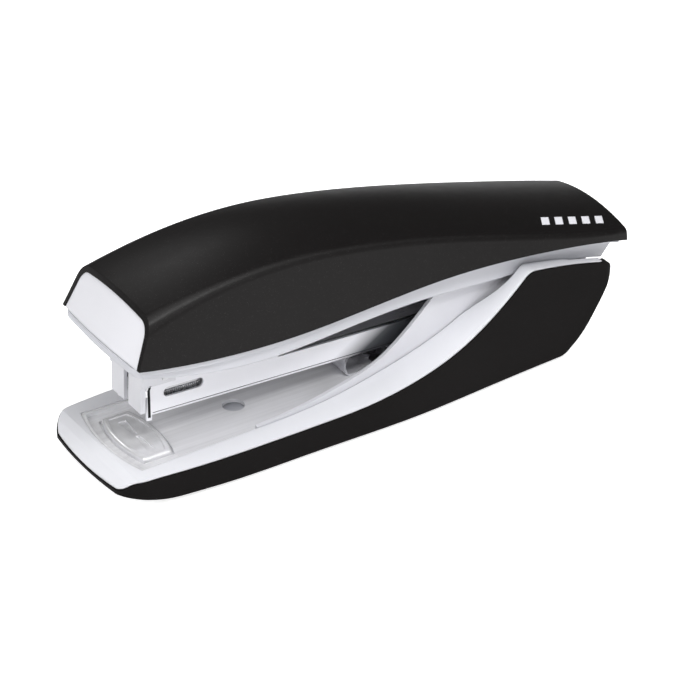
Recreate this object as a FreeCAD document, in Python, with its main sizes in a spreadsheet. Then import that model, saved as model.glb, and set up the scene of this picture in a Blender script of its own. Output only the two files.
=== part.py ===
import FreeCAD, Part
import math
import os

import Sketcher
from FreeCAD import Placement, Rotation, Vector

# Desk stapler for 24/6 staples, drawn at rest: magazine lifted off the anvil, head up.
# X runs along the length (nose at -X, hinge at +X), Y across, Z up from the desk.
# The magazine pieces are drawn level, as they lie when the magazine is parallel to the
# base, and are then turned nose-up about the hinge pin by the angle "tilt".

doc = FreeCAD.newDocument("stapler")
sheet = doc.addObject("Spreadsheet::Sheet", "Dims")

DIMENSIONS = {
    # base
    "foot_z": 1.1,            # underside of the base above the desk
    "plate_under": 6.2,       # underside of the steel tray plate
    "plate_gauge": 1.0,
    "tray_lip": 8.4,
    "deck_z": 8.6,            # top of the white rim round the tray
    "frame_gauge": 2.5,
    "skin_gauge": 1.8,
    "tray_front": -66.7,
    "tray_bow": 2.3,
    "tray_half": 15.0,
    "tray_neck": 13.8,
    "tray_step": -34.3,
    "tray_rear": 52.0,
    "well_half": 9.0,
    "hole_x": -32.5,
    "hole_size": 5.6,
    # anvil
    "anvil_x": -59.8,
    "anvil_long": 7.6,
    "anvil_half": 10.6,
    "anvil_top": 8.2,
    "anvil_bow": 1.8,
    "anvil_rim": 1.3,
    "panel_deep": 0.25,
    "pocket_deep": 0.5,
    "pocket_half": 7.4,
    # hinge
    "pivot_x": 61.0,
    "pivot_z": 25.0,
    "pin_size": 4.0,
    "pin_gap": 0.05,
    "ear_half": 10.2,
    "ear_gauge": 1.0,
    "tilt": 2.34,
    # magazine
    "mag_half": 7.1,
    "mag_wall": 0.6,
    "mag_front": -60.2,
    "mag_floor": 12.5,
    "mag_top": 18.4,
    "mag_high": 24.0,
    "mag_step": -23.5,
    "floor_gauge": 0.6,
    "foot_low": 11.0,
    "foot_long": 1.4,
    "window_front": -55.8,
    "window_rear": -44.5,
    "window_z": 17.7,
    "window_tall": 2.6,
    "plate_front": -61.9,
    "plate_thick": 0.9,
    "plate_low": 13.4,
    "plate_fold": 1.3,
    "plate_slot": 2.2,
    "rail_front": -59.2,
    "rail_rear": 49.0,
    "rail_half": 5.7,
    "rail_gauge": 0.7,
    "spring_size": 2.8,
    "spring_wire": 0.5,
    "spring_y": 3.4,
    "spring_z": 15.6,
    "hook_x": -22.2,
    # head
    "head_gauge": 1.2,
    "arm_half": 8.7,
    "arm_gauge": 1.0,
    "blade_x": -60.45,
    "blade_gauge": 0.6,
    "blade_half": 6.3,
    "blade_low": 19.2,
    "blade_high": 35.4,
    "lip_tall": 1.8,
}

for row, (alias, number) in enumerate(DIMENSIONS.items(), start=1):
    sheet.set(f"A{row}", alias)
    sheet.set(f"B{row}", str(number))
    sheet.setAlias(f"B{row}", alias)
doc.recompute()

made = []


def size(expression):
    """The value of an expression over the sheet's aliases, or of a plain number."""
    if isinstance(expression, (int, float)):
        return float(expression)
    result = sheet.evalExpression(expression)
    return float(getattr(result, "Value", result))


def bound(expression):
    """The same expression written for another object, so that it stays bound to the sheet."""
    words = sorted(DIMENSIONS, key=len, reverse=True)
    out = ""
    k = 0
    while k < len(expression):
        word = next((w for w in words if expression.startswith(w, k)), None)
        out += f"Dims.{word}" if word else expression[k]
        k += len(word) if word else 1
    return out


def bind(thing, name, expression):
    """Sets a property from a number or binds it to the sheet."""
    if isinstance(expression, str):
        thing.setExpression(name, bound(expression))
    else:
        setattr(thing, name, expression)


# ---------------------------------------------------------------- PartDesign helpers


def new_body(label):
    body = doc.addObject("PartDesign::Body", label)
    body.Label = label
    made.append(body)
    return body


def new_sketch(body, plane, offset=0.0):
    """A sketch on one of the body's own origin planes, moved along its normal."""
    sketch = body.newObject("Sketcher::SketchObject", f"{body.Name}_sketch")
    origin_plane = next(f for f in body.Origin.OriginFeatures if f.Role == plane)
    sketch.AttachmentSupport = [(origin_plane, "")]
    sketch.MapMode = "FlatFace"
    if isinstance(offset, str):
        sketch.setExpression(".AttachmentOffset.Base.z", bound(offset))
        sketch.AttachmentOffset = Placement(Vector(0, 0, size(offset)), Rotation())
    else:
        sketch.AttachmentOffset = Placement(Vector(0, 0, offset), Rotation())
    return sketch


def place_point(sketch, geometry, end, x, y):
    """Fixes one end of a line or arc at a place given by numbers or sheet expressions."""
    for kind, where in (("DistanceX", x), ("DistanceY", y)):
        if size(where) == 0:
            axis = -2 if kind == "DistanceX" else -1
            sketch.addConstraint(Sketcher.Constraint("PointOnObject", geometry, end, axis))
            continue
        index = sketch.addConstraint(Sketcher.Constraint(kind, geometry, end, size(where)))
        if isinstance(where, str):
            sketch.setExpression(f"Constraints[{index}]", bound(where))


def outline(sketch, corners):
    """A closed outline. A corner is (x, y), or (x, y, bow) where the side that leaves it is
    an arc that swells by bow to the right of the way it goes."""
    points = [Vector(size(c[0]), size(c[1]), 0) for c in corners]
    count = len(points)
    first = sketch.GeometryCount
    ends = []
    for k, corner in enumerate(corners):
        here = points[k]
        there = points[(k + 1) % count]
        if len(corner) == 2:
            sketch.addGeometry(Part.LineSegment(here, there), False)
            ends.append((1, 2))
            continue
        along = there - here
        side = Vector(along.y, -along.x, 0).normalize()
        middle = (here + there) * 0.5 + side * size(corner[2])
        leftward = (middle - here).cross(there - middle).z > 0
        ends.append((1, 2) if leftward else (2, 1))
        swept = Part.Arc(here, middle, there) if leftward else Part.Arc(there, middle, here)
        sketch.addGeometry(swept, False)
    for k in range(count):
        after = (k + 1) % count
        joint = Sketcher.Constraint("Coincident", first + k, ends[k][1], first + after, ends[after][0])
        sketch.addConstraint(joint)
    for k, corner in enumerate(corners):
        place_point(sketch, first + k, ends[k][0], corner[0], corner[1])
        if len(corner) == 3:
            radius = sketch.Geometry[first + k].Radius
            sketch.addConstraint(Sketcher.Constraint("Radius", first + k, radius))


def circle(sketch, x, y, diameter):
    sketch.addGeometry(Part.Circle(Vector(size(x), size(y), 0), Vector(0, 0, 1), size(diameter) / 2))
    index = sketch.GeometryCount - 1
    place_point(sketch, index, 3, x, y)
    number = sketch.addConstraint(Sketcher.Constraint("Diameter", index, size(diameter)))
    if isinstance(diameter, str):
        sketch.setExpression(f"Constraints[{number}]", bound(diameter))


def pad(body, sketch, length, both_ways=False, downwards=False):
    feature = body.newObject("PartDesign::Pad", f"{body.Name}_pad")
    feature.Profile = sketch
    feature.Midplane = both_ways
    feature.Reversed = downwards
    bind(feature, "Length", length)
    sketch.Visibility = False
    doc.recompute()
    return feature


def pocket(body, sketch, length, both_ways=False, upwards=False):
    """Cuts the sketch out of the body, and fails loudly if nothing was cut."""
    before = body.Shape.Volume
    feature = body.newObject("PartDesign::Pocket", f"{body.Name}_pocket")
    feature.Profile = sketch
    feature.Midplane = both_ways
    feature.Reversed = upwards
    bind(feature, "Length", length)
    sketch.Visibility = False
    doc.recompute()
    if body.Shape.Volume > before - 1e-3:
        raise RuntimeError(f"{feature.Name} of {body.Label} cut nothing")
    return feature


def soften(body, radius, wanted, kind="Fillet"):
    """Rounds or bevels the edges of the body's tip that the test picks."""
    tip = body.Tip
    names = [f"Edge{k}" for k, edge in enumerate(tip.Shape.Edges, start=1) if wanted(edge)]
    if not names:
        raise RuntimeError(f"no edge of {body.Label} to soften")
    feature = body.newObject(f"PartDesign::{kind}", f"{body.Name}_{kind.lower()}")
    feature.Base = (tip, names)
    bind(feature, "Radius" if kind == "Fillet" else "Size", radius)
    doc.recompute()
    return feature


def upright(edge):
    """True for a straight edge that runs along Z."""
    line = isinstance(edge.Curve, Part.Line)
    return line and abs(edge.tangentAt(edge.FirstParameter).z) > 0.999


def at_height(edge, height):
    box = edge.BoundBox
    return abs(box.ZMin - height) < 1e-4 and abs(box.ZMax - height) < 1e-4


# ---------------------------------------------------------------- Part helpers


def cylinder(name, x, y, z, diameter, length, axis="Z"):
    """A bound Part::Cylinder that starts at (x, y, z) and runs along +Z or +Y."""
    thing = doc.addObject("Part::Cylinder", name)
    bind(thing, "Radius", f"({diameter}) / 2" if isinstance(diameter, str) else diameter / 2)
    bind(thing, "Height", length)
    turn = Rotation(Vector(1, 0, 0), -90) if axis == "Y" else Rotation()
    thing.Placement = Placement(Vector(size(x), size(y), size(z)), turn)
    for letter, where in (("x", x), ("y", y), ("z", z)):
        if isinstance(where, str):
            thing.setExpression(f".Placement.Base.{letter}", bound(where))
    return thing


def fused(name, things):
    join = doc.addObject("Part::MultiFuse", name)
    join.Shapes = things
    return join


def group(label, things):
    """Identical fasteners: separate solids that share one node."""
    whole = doc.addObject("Part::Compound", label)
    whole.Label = label
    whole.Links = things
    made.append(whole)
    return whole


def feature(label, shape):
    """A moulded shell whose shape is worked out below from the sheet."""
    thing = doc.addObject("Part::Feature", label)
    thing.Label = label
    thing.Shape = shape
    made.append(thing)
    return thing


def curve(points):
    """A smooth edge through points."""
    spline = Part.BSplineCurve()
    spline.interpolate([Vector(*p) for p in points])
    return spline.toShape()


def line(a, b):
    return Part.makeLine(Vector(*a), Vector(*b))


def arc(a, b, c):
    return Part.Arc(Vector(*a), Vector(*b), Vector(*c)).toShape()


def face_of(edges):
    return Part.Face(Part.Wire(Part.__sortEdges__(edges)))


def across(edges, half):
    """A closed outline in the XZ plane, thickened to both sides of the middle plane."""
    face = face_of(edges)
    face.translate(Vector(0, -half, 0))
    return face.extrude(Vector(0, 2 * half, 0))


def upward(edges, low, high):
    """A closed outline in the XY plane, raised between two heights."""
    face = face_of(edges)
    face.translate(Vector(0, 0, low))
    return face.extrude(Vector(0, 0, high - low))


def xz(points):
    return [(x, 0, z) for x, z in points]


def turned(angle):
    """The placement that turns a piece nose-up about the hinge pin."""
    centre = Vector(size("pivot_x"), 0, size("pivot_z"))
    return Placement(Vector(), Rotation(Vector(0, 1, 0), angle), centre)


def tilted(body):
    """Turns a level magazine piece into its rest place, bound to the sheet's tilt."""
    body.Placement = turned(size("tilt"))
    return body


# ---------------------------------------------------------------- outlines that pieces share

TALL = 200.0  # longer than anything it cuts

# Half widths of the base, from behind its front corner to its rear corner: (x, half width).
BASE_SIDE = [(-66.9, 19.7), (-54.0, 20.7), (-20.0, 20.7), (8.0, 20.6), (30.5, 18.8), (50.0, 17.2),
             (68.2, 16.2)]

# Upper edge of the black base skin, seen from the side: (x, z).
SKIN_SWOOSH = [(-69.5, 8.05), (-66.0, 8.3), (-60.0, 8.35), (-44.0, 8.25), (-20.0, 8.3), (-6.6, 8.9),
               (7.5, 11.1), (22.5, 15.6), (33.7, 21.9), (41.6, 28.0)]
SKIN_REAR = [(70.1, 21.3), (68.8, 17.6), (65.3, 11.5), (61.6, 6.3), (57.4, 2.6)]

# Lower edge of the skin, which rises towards the nose: (x, z).
KEEL = [(-34.0, 1.1), (-45.0, 1.25), (-56.0, 1.6), (-64.0, 2.15), (-69.5, 3.5), (-72.5, 4.0), (-76.0, 4.05)]

# The ramp of the white frame that rises beside the skin: (x, z).
RAMP = [(-14.0, 8.6), (-2.6, 9.5), (10.0, 12.1), (19.6, 15.3), (29.0, 19.8), (35.3, 23.9), (42.2, 29.2)]

# The top of the frame's strip that runs back along the cheek: (x, z).
CHEEK_STRIP = [(45.4, 29.6), (53.0, 28.1), (61.0, 26.3), (66.8, 24.85)]

# Inner edge of the white frame beside the hinge bracket: (x, half width).
WELL_SIDE = [(-34.3, 13.95), (-20.0, 13.15), (-8.0, 11.65), (2.0, 10.75), (10.0, 10.5), (27.0, 10.5)]
WELL_FLARE = [(27.0, 10.5), (31.0, 11.4), (35.5, 13.0), (44.0, 13.4)]

# Front edge of the hinge bracket's ears, seen from the side: (x, z).
EAR_FRONT = [(-35.0, 8.75), (-21.5, 9.6), (-8.0, 10.9), (3.8, 13.9), (11.2, 19.0), (18.5, 25.8),
             (22.0, 29.6)]

# Half widths of the hinge bracket's ears: (x, half width).
EAR_SIDE = [(-34.0, 13.75), (-20.0, 12.95), (-8.0, 11.45), (2.0, 10.5), (10.0, 10.2)]

# The shoulder line of the cover and its lower edge: (x, z).
SHOULDER = [(-72.0, 47.6), (-62.5, 50.1), (-50.5, 52.3), (-37.5, 53.6), (-21.5, 53.5), (-0.5, 50.6),
            (20.5, 46.0), (41.5, 40.4), (62.0, 34.8), (74.7, 31.6)]
HEM = [(-72.0, 39.1), (-64.5, 37.3), (-51.5, 35.0), (-31.5, 33.3), (-11.5, 33.8), (9.5, 35.4), (30.5, 35.4),
       (52.5, 33.2), (63.5, 31.3), (74.7, 28.4)]
CROWN = [(-72.0, 0.7), (-50.0, 1.3), (-20.0, 2.0), (74.7, 2.0)]

# Half width of the cover at its lower edge, and the radius that rounds its shoulder.
COVER_HALF = [(-72.0, 18.7), (-66.0, 18.4), (-52.0, 17.8), (-36.0, 17.45), (-10.0, 17.4), (50.0, 17.4),
              (66.0, 16.75), (74.7, 15.8)]
CORNER = [(-72.0, 5.4), (-60.0, 4.0), (-45.0, 2.8), (-20.0, 2.2), (20.0, 2.0), (74.7, 1.6)]
CORNER_SHARE = 0.6    # the most of the side's height that the rounding takes
LEAST_CORNER = 0.5
LEAN_SHARE = 0.19     # how far the side leans in, for its height
MOST_LEAN = 1.4

# Lower edge of the white head frame: (x, z).
BAND = [(-70.0, 35.2), (-64.0, 33.6), (-45.0, 29.2), (-27.0, 27.8), (-8.0, 28.8), (18.0, 29.1),
        (34.0, 27.8), (52.0, 26.7), (74.7, 21.6)]


def height(table, x):
    """The value of a smooth curve through a table, at x."""
    spline = Part.BSplineCurve()
    spline.interpolate([Vector(a, 0, b) for a, b in table])
    plane = Part.Plane(Vector(x, 0, 0), Vector(1, 0, 0))
    return spline.intersect(plane)[0][0].Z


def base_plan(inset):
    """The base's outline from above, drawn in by inset."""
    nose = -74.7 + inset
    corner = 14.4 - inset * 0.6
    rear = 70.6 - inset
    edges = [arc((nose + 0.9, -corner, 0), (nose, 0, 0), (nose + 0.9, corner, 0))]
    for side in (-1, 1):
        wall = [(BASE_SIDE[0][0] + inset * 0.3, side * (BASE_SIDE[0][1] - inset), 0)]
        wall += [(x, side * (w - inset), 0) for x, w in BASE_SIDE[1:]]
        bend = (-71.3 + inset * 0.7, side * (18.0 - inset * 0.75), 0)
        edges.append(arc((nose + 0.9, side * corner, 0), bend, wall[0]))
        edges.append(curve(wall))
        last = wall[-1]
        edges.append(arc(last, (rear - 0.7, side * (15.5 - inset), 0), (rear, side * (13.9 - inset), 0)))
    edges.append(line((rear, -(13.9 - inset), 0), (rear, 13.9 - inset, 0)))
    return edges


def skin_profile():
    """The black skin from the side: the swoosh, the cheek and the leaning rear edge."""
    low = size("foot_z")
    return [
        curve(xz([(-76.0, 5.1), (-73.9, 5.15), (-72.7, 6.0), (-71.3, 7.4), SKIN_SWOOSH[0]])),
        curve(xz(SKIN_SWOOSH)),
        arc((41.6, 0, 28.0), (43.4, 0, 29.2), (45.6, 0, 29.3)),
        curve(xz([(45.6, 29.3), (57.0, 27.1), (66.2, 24.7)])),
        arc((66.2, 0, 24.7), (69.0, 0, 23.7), (70.1, 0, 21.3)),
        curve(xz(SKIN_REAR)),
        arc((57.4, 0, 2.6), (55.9, 0, 1.5), (54.0, 0, low)),
        line((54.0, 0, low), (-34.0, 0, low)),
        curve(xz(KEEL)),
        line((-76.0, 0, 4.05), (-76.0, 0, 5.1)),
    ]


# ---------------------------------------------------------------- base


def make_base_skin():
    gauge = size("skin_gauge")
    low = size("foot_z")
    shell = upward(base_plan(0), 0, 40).common(across(skin_profile(), TALL / 2))
    shell = shell.cut(upward(base_plan(gauge), 0, 40))
    swing = Part.makeBox(60, 27.8, 40, Vector(40, -13.9, low + 6.0))
    return feature("base_skin", shell.cut(swing))


def frame_profile(drop):
    """The white frame from the side: nose facet, deck and ramp, drop lower underneath."""
    deck = size("deck_z")
    front = -75.2
    deck_front = -69.9
    end = CHEEK_STRIP[-1]
    under = deck - drop
    ramp_under = [(45.4 - drop * 0.25, 29.6), *reversed(RAMP[1:-1]), (-10.0, deck)]
    return [
        curve(xz([(front, 4.5), (-73.4, 6.1), (-72.0, 7.5)])),
        line((-72.0, 0, 7.5), (deck_front, 0, deck)),
        line((deck_front, 0, deck), (-14.0, 0, deck)),
        curve(xz(RAMP)),
        arc((42.2, 0, 29.2), (43.6, 0, 29.75), (45.4, 0, 29.6)),
        curve(xz(CHEEK_STRIP)),
        line((end[0], 0, end[1]), (end[0], 0, end[1] - drop)),
        curve([(x, 0, z - drop) for x, z in reversed(CHEEK_STRIP)]),
        curve([(x + drop * 0.25, 0, z - drop) for x, z in ramp_under]),
        line((-10.0 + drop * 0.25, 0, under), (-70.8, 0, under)),
        line((-70.8, 0, under), (front, 0, 4.3)),
        line((front, 0, 4.3), (front, 0, 4.5)),
    ]


def well_outline():
    """The opening of the white frame: the tray, then the well of the hinge bracket."""
    front = size("tray_front") - 0.1
    bow = size("tray_bow")
    half = size("tray_half") + 0.1
    neck = size("tray_neck") + 0.15
    step = size("tray_step")
    edges = [arc((front, -half, 0), (front - bow, 0, 0), (front, half, 0))]
    for side in (-1, 1):
        edges.append(line((front, side * half, 0), (step, side * neck, 0)))
        edges.append(curve([(x, side * w, 0) for x, w in WELL_SIDE]))
        edges.append(curve([(x, side * w, 0) for x, w in WELL_FLARE]))
        edges.append(line((44.0, side * 13.4, 0), (56.0, side * 13.4, 0)))
        edges.append(line((56.0, side * 13.4, 0), (58.0, side * 14.1, 0)))
        edges.append(line((58.0, side * 14.1, 0), (80.0, side * 14.1, 0)))
    edges.append(line((80.0, -14.1, 0), (80.0, 14.1, 0)))
    return edges


SCREWS = [(-48.0, 16.95), (-48.0, -16.95), (24.0, 14.6), (24.0, -14.6)]


def make_base_frame():
    gauge = size("frame_gauge")
    deck = size("deck_z")
    skin = across(skin_profile(), TALL / 2)
    strip = across(frame_profile(gauge), TALL / 2)
    cap = upward(base_plan(0.3), 0, 40).common(strip).cut(skin)
    core = upward(base_plan(size("skin_gauge") + 0.05), 0, 40).common(strip)
    posts = []
    for x, y in SCREWS:
        top = deck - 0.8 if x < RAMP[0][0] else height(RAMP, x) - 1.2
        post = Part.makeCylinder(1.75, top - 2.65, Vector(x, y, 2.65))
        posts.append(post.cut(Part.makeCylinder(1.05, 3.2, Vector(x, y, 2.65))))
    white = core.fuse([cap, *posts]).cut(upward(well_outline(), 0, 40))
    return feature("base_frame", white.removeSplitter())


def make_bottom_plate():
    body = new_body("bottom_plate")
    flat = new_sketch(body, "XY_Plane", "foot_z")
    outline(flat, [(-67.5, -12.5), (-62.0, -17.0), (-52.0, -18.6), (8.0, -18.6), (49.0, -15.0),
                   (49.0, 15.0),
                   (8.0, 18.6), (-52.0, 18.6), (-62.0, 17.0), (-67.5, 12.5)])
    pad(body, flat, 1.5)
    ribs = new_sketch(body, "XY_Plane", "foot_z + 1.5")
    for middle, half in ((-48.0, 12.0), (-12.0, 10.0), (38.0, 8.0)):
        outline(ribs, [(middle - 1, -half), (middle + 1, -half), (middle + 1, half), (middle - 1, half)])
    pad(body, ribs, "plate_under - foot_z - 1.5")
    bores = new_sketch(body, "XY_Plane", "foot_z")
    for x, y in SCREWS:
        circle(bores, x, y, 3.2)
    pocket(body, bores, 0.9, upwards=True)
    holes = new_sketch(body, "XY_Plane", "foot_z")
    for x, y in SCREWS:
        circle(holes, x, y, 2.4)
    pocket(body, holes, 3.0, upwards=True)
    return body


def make_base_plate():
    """The steel tray: a floor with an upturned lip round its front half."""
    body = new_body("base_plate")
    low = "plate_under"
    floor = new_sketch(body, "XY_Plane", low)
    outline(floor, [
        ("tray_front", "tray_half", "tray_bow"), ("tray_front", "-tray_half"), ("tray_step", "-tray_neck"),
        ("tray_step", "2.0 - tray_neck"), (2.0, "-rail_half - 3.4"), ("tray_rear", "-well_half"),
        ("tray_rear", "well_half"), (2.0, "rail_half + 3.4"), ("tray_step", "tray_neck - 2.0"),
        ("tray_step", "tray_neck"),
    ])
    pad(body, floor, "plate_gauge")
    lip = new_sketch(body, "XY_Plane", low)
    outline(lip, [
        ("tray_front", "tray_half", "tray_bow"), ("tray_front", "-tray_half"), ("tray_step", "-tray_neck"),
        ("tray_step", "0.8 - tray_neck"), ("tray_front + 0.8", "0.8 - tray_half", "-tray_bow"),
        ("tray_front + 0.8", "tray_half - 0.8"), ("tray_step", "tray_neck - 0.8"),
        ("tray_step", "tray_neck"),
    ])
    pad(body, lip, "tray_lip - plate_under")
    hole = new_sketch(body, "XY_Plane", low)
    circle(hole, "hole_x", 0, "hole_size")
    pocket(body, hole, 3.0, upwards=True)
    seat = new_sketch(body, "XY_Plane", "plate_under + plate_gauge")
    gap = 0.45
    long_half = f"anvil_long / 2 + {gap}"
    outline(seat, [
        (f"anvil_x - ({long_half})", f"anvil_half + {gap}", "anvil_bow"),
        (f"anvil_x - ({long_half})", f"-anvil_half - {gap}"),
        (f"anvil_x + {long_half}", f"-anvil_half - {gap}", "anvil_bow"),
        (f"anvil_x + {long_half}", f"anvil_half + {gap}"),
    ])
    pocket(body, seat, "plate_gauge - 0.4")
    return body


def make_anvil_plate():
    """The chromed clincher: a domed block with a pair of tapering pockets for the staple legs."""
    body = new_body("anvil_plate")
    block = new_sketch(body, "XY_Plane", "plate_under + 0.4")
    outline(block, [
        ("anvil_x - anvil_long / 2", "anvil_half", "anvil_bow"),
        ("anvil_x - anvil_long / 2", "-anvil_half"),
        ("anvil_x + anvil_long / 2", "-anvil_half", "anvil_bow"),
        ("anvil_x + anvil_long / 2", "anvil_half"),
    ])
    pad(body, block, "anvil_top - plate_under - 0.4")
    top = size("anvil_top")
    soften(body, 1.0, upright)
    soften(body, 0.7, lambda edge: at_height(edge, top))
    panel = new_sketch(body, "XY_Plane", "anvil_top")
    inner_long = "anvil_long / 2 - anvil_rim"
    outline(panel, [
        (f"anvil_x - ({inner_long})", "anvil_half - anvil_rim", "anvil_bow"),
        (f"anvil_x - ({inner_long})", "anvil_rim - anvil_half"),
        (f"anvil_x + {inner_long}", "anvil_rim - anvil_half", "anvil_bow"),
        (f"anvil_x + {inner_long}", "anvil_half - anvil_rim"),
    ])
    pocket(body, panel, "panel_deep")
    recess = new_sketch(body, "XY_Plane", "anvil_top - panel_deep")
    outline(recess, [("anvil_x - 1.1", "-pocket_half"), ("anvil_x + 1.1", "-pocket_half"),
                     ("anvil_x + 0.45", -0.35), ("anvil_x - 0.45", -0.35)])
    outline(recess, [("anvil_x - 0.45", 0.35), ("anvil_x + 0.45", 0.35),
                     ("anvil_x + 1.1", "pocket_half"), ("anvil_x - 1.1", "pocket_half")])
    pocket(body, recess, "pocket_deep")
    return body


def make_rivets(label, places, z, shank, grip, head, head_tall):
    """Rivets that stand upright: a shank through the joint and a head on top."""
    things = []
    for k, (x, y) in enumerate(places):
        shaft = cylinder(f"{label}_shank_{k}", x, y, z, shank, grip + head_tall)
        cap = cylinder(f"{label}_cap_{k}", x, y, z + grip, head, head_tall)
        things.append(fused(f"{label}_{k}", [shaft, cap]))
    return group(label, things)


LIFT_RIVETS = [(8.0, 2.0), (8.0, -2.0)]
BRACKET_RIVETS = [(22.0, 5.5), (22.0, -5.5), (44.0, 5.5), (44.0, -5.5)]


def make_pivot_bracket():
    """The white hinge bracket: a web on the tray and two ears that sweep out to the tray's lip."""
    gauge = size("ear_gauge")
    half = size("ear_half")
    web_z = size("plate_under + plate_gauge")
    px = size("pivot_x")
    pz = size("pivot_z")
    outer = []
    for side in (-1, 1):
        outside = [(x, side * w, 0) for x, w in EAR_SIDE]
        inside = [(x, side * (w - gauge), 0) for x, w in EAR_SIDE]
        outer.append(upward([
            curve(outside), line(outside[-1], (70.0, side * half, 0)),
            line((70.0, side * half, 0), (70.0, side * (half - gauge), 0)),
            line((70.0, side * (half - gauge), 0), inside[-1]), curve(inside), line(inside[0], outside[0]),
        ], web_z, 40))
    profile = across([
        curve(xz(EAR_FRONT)),
        arc((22.0, 0, 29.6), (24.0, 0, 31.0), (26.5, 0, 31.4)),
        line((26.5, 0, 31.4), (px, 0, pz + 6.4)),
        arc((px, 0, pz + 6.4), (px + 4.53, 0, pz + 4.53), (px + 6.4, 0, pz)),
        line((px + 6.4, 0, pz), (54.0, 0, web_z)),
        line((54.0, 0, web_z), (-35.0, 0, web_z)),
        line((-35.0, 0, web_z), (-35.0, 0, 8.75)),
    ], 20)
    ears = outer[0].fuse(outer[1]).common(profile)
    web = Part.makeBox(54.0 - 14.0, 2 * half - 0.2, 1.0, Vector(14.0, 0.1 - half, web_z))
    holes = [Part.makeCylinder(1.55, 9, Vector(x, y, web_z - 4)) for x, y in BRACKET_RIVETS]
    bore_size = size("pin_size / 2 + pin_gap")
    bore = Part.makeCylinder(bore_size, 40, Vector(px, -20, pz), Vector(0, 1, 0))
    return feature("pivot_bracket", ears.fuse(web).cut([*holes, bore]).removeSplitter())


def make_hinge_pin():
    body = new_body("hinge_pin")
    profile = new_sketch(body, "XZ_Plane")
    circle(profile, "pivot_x", "pivot_z", "pin_size")
    pad(body, profile, "2 * ear_half + 1.4", both_ways=True)
    head = new_sketch(body, "XZ_Plane", "ear_half")
    circle(head, "pivot_x", "pivot_z", "pin_size + 2.4")
    pad(body, head, 0.7)
    return body


def make_pin_clip():
    """The spring washer that keeps the pin in, on its far end."""
    washer = cylinder("pin_clip_disc", "pivot_x", "ear_half + 0.05", "pivot_z", "pin_size + 3.0", 0.6, "Y")
    bore = cylinder("pin_clip_bore", "pivot_x", "ear_half - 1", "pivot_z", "pin_size", 3.0, "Y")
    clip = doc.addObject("Part::Cut", "pin_clip")
    clip.Label = "pin_clip"
    clip.Base = washer
    clip.Tool = bore
    made.append(clip)
    return clip


def make_rubber_feet():
    places = [(-62.0, 12.5), (-62.0, -12.5), (40.0, 11.5), (40.0, -11.5)]
    feet = [cylinder(f"rubber_foot_{k}", x, y, 0, 9.0, "foot_z") for k, (x, y) in enumerate(places)]
    return group("rubber_feet", feet)


def make_base_screws():
    things = []
    for k, (x, y) in enumerate(SCREWS):
        head = cylinder(f"base_screw_head_{k}", x, y, "foot_z + 0.1", 3.0, 0.8)
        shank = cylinder(f"base_screw_shank_{k}", x, y, "foot_z + 0.1", 2.0, 4.4)
        things.append(fused(f"base_screw_{k}", [head, shank]))
    return group("base_screws", things)


def make_lift_spring():
    """A C-shaped leaf: its foot is riveted to the tray, its free leg holds the magazine up."""
    body = new_body("lift_spring")
    side = new_sketch(body, "XZ_Plane")
    low = 7.2
    outline(side, [
        (13.0, low), (13.0, low + 0.5), (-1.0, low + 0.5, -2.2), (-1.0, 12.55), (9.2, 14.1), (9.1, 14.6),
        (-1.0, 13.05, 2.7), (-1.0, low),
    ])
    pad(body, side, 8.0, both_ways=True)
    return body


# ---------------------------------------------------------------- magazine (drawn level)


def make_magazine_channel():
    """The painted channel that carries the staples, with its low tail round the hinge pin."""
    body = new_body("magazine_channel")
    side = new_sketch(body, "XZ_Plane")
    outline(side, [
        ("mag_front", "foot_low"), ("mag_front + foot_long", "foot_low"),
        ("mag_front + foot_long", "mag_floor"),
        ("pivot_x - 10", "mag_floor"), ("pivot_x + 5.6", "pivot_z - 4"), ("pivot_x + 5.6", "pivot_z + 3"),
        ("pivot_x + 3", "pivot_z + 4.4"), ("pivot_x - 4", "pivot_z + 4.4"), ("pivot_x - 22", "mag_top"),
        ("mag_step", "mag_top"), ("mag_step - 1.5", "mag_high"), ("mag_front", "mag_high"),
    ])
    pad(body, side, "2 * mag_half", both_ways=True)
    inside = new_sketch(body, "YZ_Plane", -70.0)
    inner = "mag_half - mag_wall"
    outline(inside, [
        (f"-({inner})", "mag_floor + floor_gauge"), (inner, "mag_floor + floor_gauge"),
        (inner, 40.0), (f"-({inner})", 40.0),
    ])
    pocket(body, inside, TALL, upwards=True)
    mouth = new_sketch(body, "YZ_Plane", -70.0)
    outline(mouth, [(f"-({inner})", 5.0), (inner, 5.0), (inner, 16.0), (f"-({inner})", 16.0)])
    pocket(body, mouth, "mag_front + 2.4 + 70", upwards=True)
    window = new_sketch(body, "XZ_Plane")
    half_tall = "window_tall / 2"
    outline(window, [
        (f"window_front + {half_tall}", f"window_z + {half_tall}", "0.45 * window_tall"),
        (f"window_front + {half_tall}", f"window_z - {half_tall}"),
        (f"window_rear - {half_tall}", f"window_z - {half_tall}", "0.45 * window_tall"),
        (f"window_rear - {half_tall}", f"window_z + {half_tall}"),
    ])
    pocket(body, window, 40.0, both_ways=True)
    bore = new_sketch(body, "XZ_Plane")
    circle(bore, "pivot_x", "pivot_z", "pin_size + 2 * pin_gap")
    pocket(body, bore, 40.0, both_ways=True)
    return tilted(body)


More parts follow.
